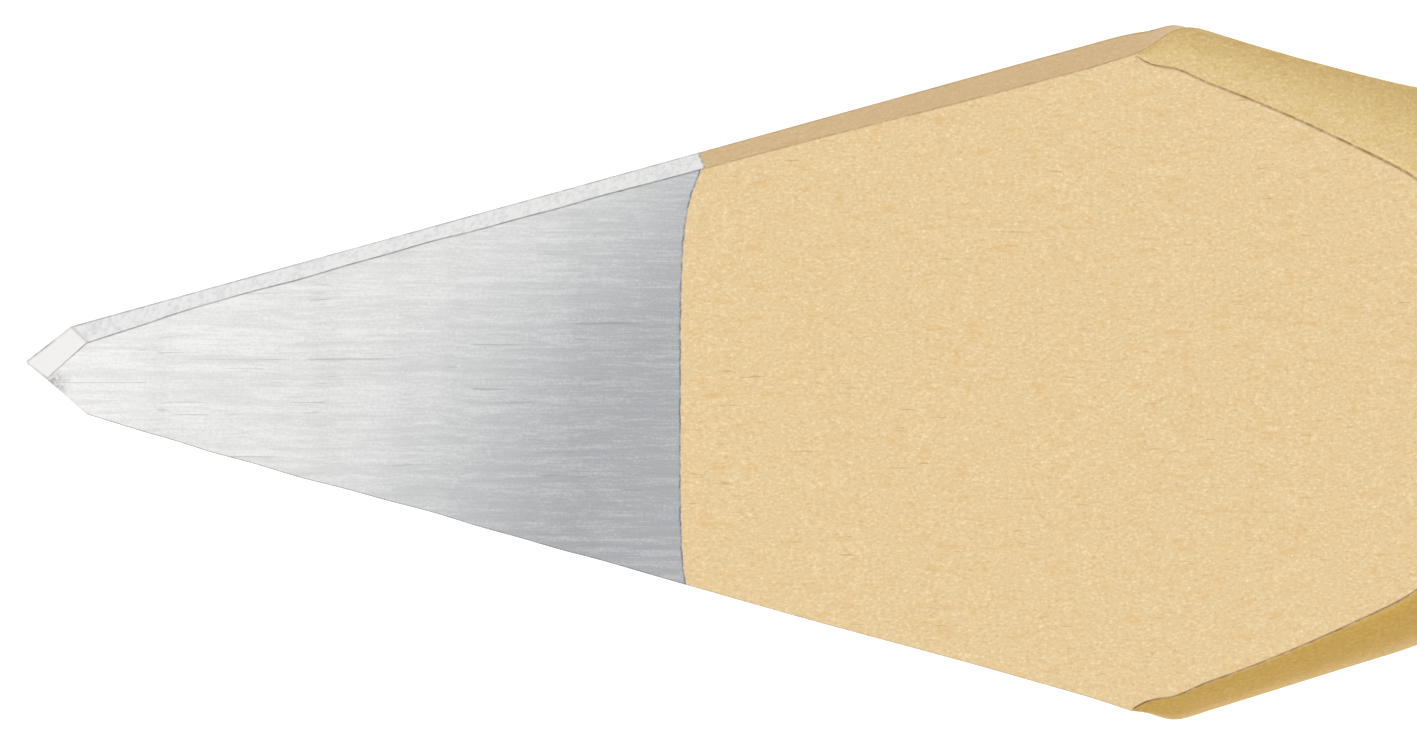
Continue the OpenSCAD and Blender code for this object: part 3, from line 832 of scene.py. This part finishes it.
def gold_coating(f, mark, wall, outline, broken):
    """Pale and dark specks, slightly drawn out along the blade, over faint rubbing. The side wall gets
    painted shade, the rolled edges painted light and shade, and the creases painted shade as thin
    brown lines."""
    not_wall = f.ramp(mark, 0.02, 0.12, 1.0, 0.0)
    not_shank = f.ramp(f.u, 18.9, 21.6, 1.0, 0.0)
    roll = f.math("MULTIPLY", f.math("MULTIPLY", f.mark("roll"), not_wall), not_shank)
    crease = f.ramp(f.mark("line"), 0.1, 0.8)
    grain = f.noise(1.0, f.scaled(17, 26, 26), detail=3.0, rough=0.75)
    clump = f.noise(1.0, f.scaled(3.0, 7.5, 7.5), detail=4.0, rough=0.65)
    dots = f.cells(19.0)
    rub = f.noise(1.0, f.scaled(2.0, 26, 26), detail=3.0, rough=0.6)
    gold = f.blend(f.ramp(grain, 0.50, 0.72, 0.0, 0.7), linear(214, 189, 144), linear(236, 217, 181))
    gold = f.blend(f.ramp(grain, 0.48, 0.28, 0.0, 0.75), gold, linear(201, 167, 110))
    gold = f.blend(f.ramp(clump, 0.47, 0.30, 0.0, 0.4), gold, linear(206, 170, 108))
    gold = f.blend(f.ramp(dots, 0.20, 0.06, 0.0, 0.4), gold, linear(242, 228, 200))
    gold = f.blend(f.ramp(rub, 0.34, 0.26, 0.0, 0.6), gold, linear(178, 140, 84))
    # painted shade: the side wall darker than the face, less so behind the shoulders
    painted_wall_shade = f.math("MULTIPLY", wall, f.ramp(f.u, 15.4, 15.9, 1.0, 0.35))
    gold = f.blend(painted_wall_shade, gold, (0.85, 0.785, 0.70), "MULTIPLY")
    # painted light and shade on the rolled edges: a painted highlight near the top crease, painted
    # shade towards the top outline and over the lower roll, a painted highlight on the lower roll's
    # rim
    gold = f.blend(f.ramp(roll, 0.1, 0.45), gold, (1.115, 1.11, 0.985), "MULTIPLY")
    gold = f.blend(f.ramp(roll, 0.6, 1.0), gold, (0.88, 0.84, 0.72), "MULTIPLY")
    gold = f.blend(f.ramp(roll, -0.1, -0.45), gold, (0.84, 0.71, 0.30), "MULTIPLY")
    gold = f.blend(f.ramp(roll, -0.82, -0.97), gold, (1.10, 1.17, 1.75), "MULTIPLY")
    # painted shade: a dark line along the edges of the face and the side wall
    gold = f.blend(f.math("MULTIPLY", outline, 0.5), gold, linear(146, 108, 54))
    # painted shade in the creases: thin broken dark brown lines
    crease = f.math("MULTIPLY", crease, f.math("MULTIPLY", broken, 0.72))
    return f.blend(crease, gold, linear(126, 92, 42)), grain


def gouge_finish():
    """The same gold coating, with the outside of the cutting end ground bright."""
    f = Finish("gold_and_ground_edge")
    ground = f.ramp(f.mark("ground"), 0.4, 0.6)
    grain = f.noise(20.0, detail=3.0, rough=0.75)
    clump = f.noise(1.0, f.scaled(2.0, 6, 6), detail=4.0, rough=0.65)
    gold = f.blend(f.ramp(grain, 0.50, 0.72, 0.0, 0.7), linear(205, 172, 112), linear(232, 206, 158))
    gold = f.blend(f.ramp(grain, 0.48, 0.28, 0.0, 0.75), gold, linear(180, 142, 84))
    gold = f.blend(f.ramp(clump, 0.47, 0.30, 0.0, 0.5), gold, linear(186, 146, 84))
    streak = f.noise(1.0, f.scaled(2.0, 28, 28), detail=4.0, rough=0.65)
    steel = f.blend(f.ramp(streak, 0.35, 0.62), linear(150, 153, 157), linear(205, 206, 207))
    f.set(Base_Color=f.blend(ground, gold, steel), Metallic=f.math("MULTIPLY_ADD", ground, 0.3, 0.7))
    f.set(Roughness=f.math("MULTIPLY_ADD", streak, 0.12, f.ramp(ground, 0, 1, 0.36, 0.22)))
    f.set(Normal=f.bump(grain, 0.5, 0.012))
    return f.material


def turned_brass():
    """Turned marks round the axis, patchy tarnish, and a darker, rougher colour the deeper a point
    lies in a groove or thread.
    """
    f = Finish("turned_brass")
    r = f.math("SQRT", f.math("ADD", f.math("MULTIPLY", f.y, f.y), f.math("MULTIPLY", f.z, f.z)))
    along = f.math("MULTIPLY_ADD", r, 0.9, f.u)
    mottle = f.math("MULTIPLY", f.noise(9.0), 0.4)
    rings = f.math("MULTIPLY_ADD", f.line_noise(along, 16.0, 4.0), 0.6, mottle)
    patch = f.noise(0.28, detail=6.0, rough=0.62)
    specks = f.noise(5.5, detail=3.0, rough=0.7)
    groove = f.mark("groove")
    colour = f.blend(f.ramp(patch, 0.34, 0.66), linear(212, 172, 98), linear(192, 150, 84))
    colour = f.blend(f.ramp(rings, 0.38, 0.60, 0.0, 0.30), colour, linear(232, 199, 134))
    colour = f.blend(f.ramp(specks, 0.66, 0.74, 0.0, 0.45), colour, linear(128, 88, 44))
    colour = f.blend(f.ramp(groove, 0.08, 0.30, 0.0, 0.62), colour, linear(104, 70, 30))
    f.set(Base_Color=colour, Metallic=1.0)
    rough = f.math("ADD", f.ramp(patch, 0.3, 0.7, 0.15, 0.28), f.math("MULTIPLY", groove, 0.5))
    f.set(Roughness=f.math("MULTIPLY_ADD", rings, 0.08, rough))
    f.set(Normal=f.bump(rings, 0.35, 0.012))
    return f.material


def tool_steel():
    """Drawn steel with soft streaks along the tool and a few dull spots."""
    f = Finish("tool_steel")
    streak = f.noise(1.0, f.scaled(1.2, 12, 12), detail=5.0, rough=0.65)
    patch = f.noise(0.5, detail=5.0, rough=0.6)
    spots = f.noise(7.0, detail=3.0, rough=0.7)
    colour = f.blend(f.ramp(patch, 0.35, 0.65), linear(192, 194, 197), linear(164, 166, 170))
    colour = f.blend(f.ramp(streak, 0.40, 0.62, 0.0, 0.35), colour, linear(220, 221, 223))
    colour = f.blend(f.ramp(spots, 0.66, 0.76, 0.0, 0.5), colour, linear(96, 88, 80))
    f.set(Base_Color=colour, Metallic=1.0)
    f.set(Roughness=f.math("MULTIPLY_ADD", streak, 0.16, f.ramp(patch, 0.3, 0.7, 0.18, 0.28)))
    f.set(Normal=f.bump(streak, 0.25, 0.01))
    return f.material


def lacquered_beech():
    """Straight grain along the tool, growth bands, short dark rays, and satin lacquer."""
    f = Finish("lacquered_beech")
    sway = f.noise(0.05, detail=2.0)
    across = f.math("MULTIPLY_ADD", sway, 7.0, f.math("MULTIPLY_ADD", f.z, 0.35, f.y))
    bands = f.line_noise(across, 0.55, 3.0)
    grain = f.noise(1.0, f.scaled(0.10, 2.6, 2.6), detail=6.0, rough=0.62)
    pores = f.noise(1.0, f.scaled(0.9, 16, 16), detail=3.0, rough=0.6)
    rays = f.noise(1.0, f.scaled(0.55, 5.2, 5.2), detail=2.0, rough=0.5)
    worn = f.noise(0.07, detail=3.0)
    colour = f.blend(f.ramp(bands, 0.32, 0.68), linear(208, 158, 106), linear(184, 128, 78))
    colour = f.blend(f.ramp(grain, 0.35, 0.65, 0.0, 0.45), colour, linear(166, 108, 62))
    colour = f.blend(f.ramp(pores, 0.56, 0.72, 0.0, 0.55), colour, linear(138, 86, 48))
    colour = f.blend(f.ramp(rays, 0.63, 0.70, 0.0, 0.75), colour, linear(122, 72, 38))
    colour = f.blend(f.ramp(worn, 0.35, 0.65, 0.0, 0.22), colour, linear(224, 178, 126))
    f.set(Base_Color=colour, Roughness=f.ramp(grain, 0.3, 0.7, 0.36, 0.50))
    f.set(Coat_Weight=0.55, Coat_Roughness=0.12, Coat_IOR=1.5)
    f.set(Normal=f.bump(pores, 0.20, 0.02, f.bump(grain, 0.15, 0.05)))
    return f.material


def black_acetal():
    """Black plastic with turned rings and a little dust."""
    f = Finish("black_acetal")
    rings = f.line_noise(f.u, 14.0, 3.0)
    dust = f.noise(8.0, detail=4.0, rough=0.7)
    colour = f.blend(f.ramp(dust, 0.60, 0.74, 0.0, 0.5), linear(38, 38, 40), linear(92, 91, 90))
    f.set(Base_Color=f.blend(f.ramp(rings, 0.4, 0.6, 0.0, 0.3), colour, linear(56, 56, 58)))
    f.set(Roughness=f.ramp(dust, 0.35, 0.7, 0.34, 0.52), Normal=f.bump(rings, 0.3, 0.012))
    return f.material


def ivory_nylon():
    """Clouded ivory plastic with a fine texture and faint specks."""
    f = Finish("ivory_nylon")
    cloud = f.noise(0.35, detail=4.0)
    fine = f.noise(13.0, detail=3.0, rough=0.6)
    specks = f.noise(4.0, detail=2.0)
    colour = f.blend(f.ramp(cloud, 0.35, 0.65), linear(220, 212, 190), linear(214, 205, 181))
    colour = f.blend(f.ramp(specks, 0.68, 0.76, 0.0, 0.4), colour, linear(160, 146, 116))
    f.set(Base_Color=colour, Roughness=f.ramp(fine, 0.3, 0.7, 0.38, 0.54))
    f.set(Subsurface_Weight=0.12, Subsurface_Scale=0.0015, Normal=f.bump(fine, 0.3, 0.012))
    return f.material


def black_rubber():
    """Dull rubber with a pale bloom."""
    f = Finish("black_rubber")
    skin = f.noise(10.0, detail=4.0, rough=0.65)
    bloom = f.noise(1.2, detail=4.0)
    colour = f.blend(f.ramp(bloom, 0.45, 0.72, 0.0, 0.6), linear(30, 30, 31), linear(76, 74, 72))
    f.set(Base_Color=colour, Roughness=f.ramp(skin, 0.3, 0.7, 0.62, 0.82))
    f.set(Normal=f.bump(skin, 0.4, 0.02))
    return f.material


def grey_felt():
    """Pressed wool: crossing fibres in two greys, no shine."""
    f = Finish("grey_felt")
    fibres = f.noise(1.0, f.scaled(5, 2.2, 9), detail=6.0, rough=0.75, distort=2.5)
    crossing = f.noise(1.0, f.scaled(6, 9, 2.4), detail=6.0, rough=0.75, distort=2.5)
    pile = f.math("MAXIMUM", fibres, crossing)
    colour = f.blend(f.ramp(pile, 0.42, 0.70), linear(96, 97, 92), linear(164, 164, 156))
    f.set(Base_Color=colour, Roughness=0.95, Sheen_Weight=0.4, Normal=f.bump(pile, 0.9, 0.12))
    return f.material


# ------------------------------------------------------------------ assembling
def fitted(obj, material, body, node):
    """Puts a finished piece on its body in place of its CAD node."""
    dress(obj, material)
    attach(obj, body)
    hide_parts(node)


BRASS, STEEL, ACETAL, NYLON = turned_brass(), tool_steel(), black_acetal(), ivory_nylon()
RUBBER, FELT, GILT = black_rubber(), grey_felt(), gouge_finish()
fitted(make_knife(), knife_finish(), "knife", "nib")
fitted(make_nut(), BRASS, "nut", "chuck_nut")
fitted(make_cone(), STEEL, "closer", "slip_ring")
fitted(make_base(), BRASS, "root", "chuck_base")
fitted(make_handle(), lacquered_beech(), "root", "handle")
fitted(ring("felt_disc", "felt_pad", 0, 0.4, 0.8), FELT, "root", "felt_pad")
fitted(ring("lining_tube", "storage_tube", 8.2, 0.12), BRASS, "root", "storage_tube")
fitted(make_collar(), BRASS, "root", "rear_collar")
fitted(make_cap(), BRASS, "cap", "end_cap")
fitted(make_plug(), ACETAL, "cap", "cap_plug")
fitted(make_seal(), RUBBER, "cap", "cap_o_ring")
fitted(ring("screw_washer", "cap_washer", SCREW_HOLE_R, 0.06), STEEL, "cap", "cap_washer")
fitted(make_rack(), NYLON, "rack", "nib_rack")
fitted(ring("shank_band", "rack_band", 7.73, 0.12), RUBBER, "rack", "rack_band")
HEADS = {"v_liner": (1.2, 62, 2.1), "v_gouge": (1.5, 52, 2.8), "u_gouge": (2.1, 86, 1.2),
         "wide_gouge": (3.7, 66, 0)}
for k, (node, head) in enumerate(HEADS.items()):
    fitted(make_gouge(node, head, k), GILT, "rack", node)
dress(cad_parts["ferrule"], BRASS)
for node in ("collet", "core_pin", "cross_pin", "cap_screw"):
    dress(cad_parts[node], STEEL)

# ------------------------------------------------------------------ floor, light, camera
TILT = math.radians(22)  # of the view, off the ground face and towards +Y
VIEW_WIDTH = 18.99  # mm across the frame at the target
LENS, SENSOR = 800.0, 36.0
WHITE = (1.0, 1.0, 1.0, 1.0)


def make_floor():
    half = 1.5
    corners = [(-half, -half, 0), (half, -half, 0), (half, half, 0), (-half, half, 0)]
    mesh = bpy.data.meshes.new("floor")
    mesh.from_pydata(corners, [], [(0, 1, 2, 3)])
    floor = bpy.data.objects.new("floor", mesh)
    bpy.context.scene.collection.objects.link(floor)
    f = Finish("white_floor")
    f.set(Base_Color=(0.9, 0.9, 0.9, 1.0), Roughness=0.9)
    f.set(Emission_Color=WHITE, Emission_Strength=0.31)
    dress(floor, f.material)


def make_softbox():
    place, aim = Vector((-0.09, -0.18, 0.45)), Vector((-0.06, 0, 0.01))
    data = bpy.data.lights.new("softbox", "AREA")
    data.shape = "RECTANGLE"
    data.size, data.size_y = 0.35, 0.35
    data.energy = 0.3
    light = bpy.data.objects.new("softbox", data)
    light.location = place
    light.rotation_euler = (aim - place).to_track_quat("-Z", "Y").to_euler()
    bpy.context.scene.collection.objects.link(light)


def make_camera():
    data = bpy.data.cameras.new("camera")
    data.lens, data.sensor_width = LENS, SENSOR
    data.clip_start = 0.002
    camera = bpy.data.objects.new("camera", data)
    distance = VIEW_WIDTH * MM * LENS / SENSOR
    target = Vector((TIP_X + 9.15 * MM, 0.06 * MM, AXIS_Z + (BACK_Z + 0.5) * MM))
    camera.location = target + Vector((0, math.sin(TILT), math.cos(TILT))) * distance
    camera.rotation_euler = (-TILT, 0, 0)
    bpy.context.scene.collection.objects.link(camera)
    bpy.context.scene.camera = camera


def make_world():
    """A white studio: bright overhead, a brighter band halfway up, darker near the horizon.
    Overhead it shines with the strength 0.92."""
    world = bpy.data.worlds.new("studio")
    bpy.context.scene.world = world
    world.use_nodes = True
    tree = world.node_tree
    coords = tree.nodes.new("ShaderNodeTexCoord")
    parts = tree.nodes.new("ShaderNodeSeparateXYZ")
    tree.links.new(coords.outputs["Generated"], parts.inputs[0])
    height = tree.nodes.new("ShaderNodeMapRange")
    height.inputs["From Min"].default_value = -1.0
    tree.links.new(parts.outputs["Z"], height.inputs["Value"])
    ramp = tree.nodes.new("ShaderNodeValToRGB").color_ramp
    ramp.interpolation = "EASE"
    overhead = 0.74
    stops = [(-1.0, 0.5), (-0.05, 0.30), (0.15, 0.12), (0.28, 0.80), (0.52, 1.0), (0.74, overhead),
             (1.0, overhead)]
    while len(ramp.elements) < len(stops):
        ramp.elements.new(0.5)
    for element, (z, level) in zip(ramp.elements, stops):
        element.position = (z + 1) / 2
        element.color = (level, level, level, 1)
    ramp_node = tree.nodes["Color Ramp"]
    tree.links.new(height.outputs[0], ramp_node.inputs["Fac"])
    tree.links.new(ramp_node.outputs["Color"], tree.nodes["Background"].inputs["Color"])
    tree.nodes["Background"].inputs["Strength"].default_value = 0.92 / overhead


make_floor()
make_world()
make_softbox()
make_camera()
bpy.context.scene.view_settings.view_transform = "Standard"
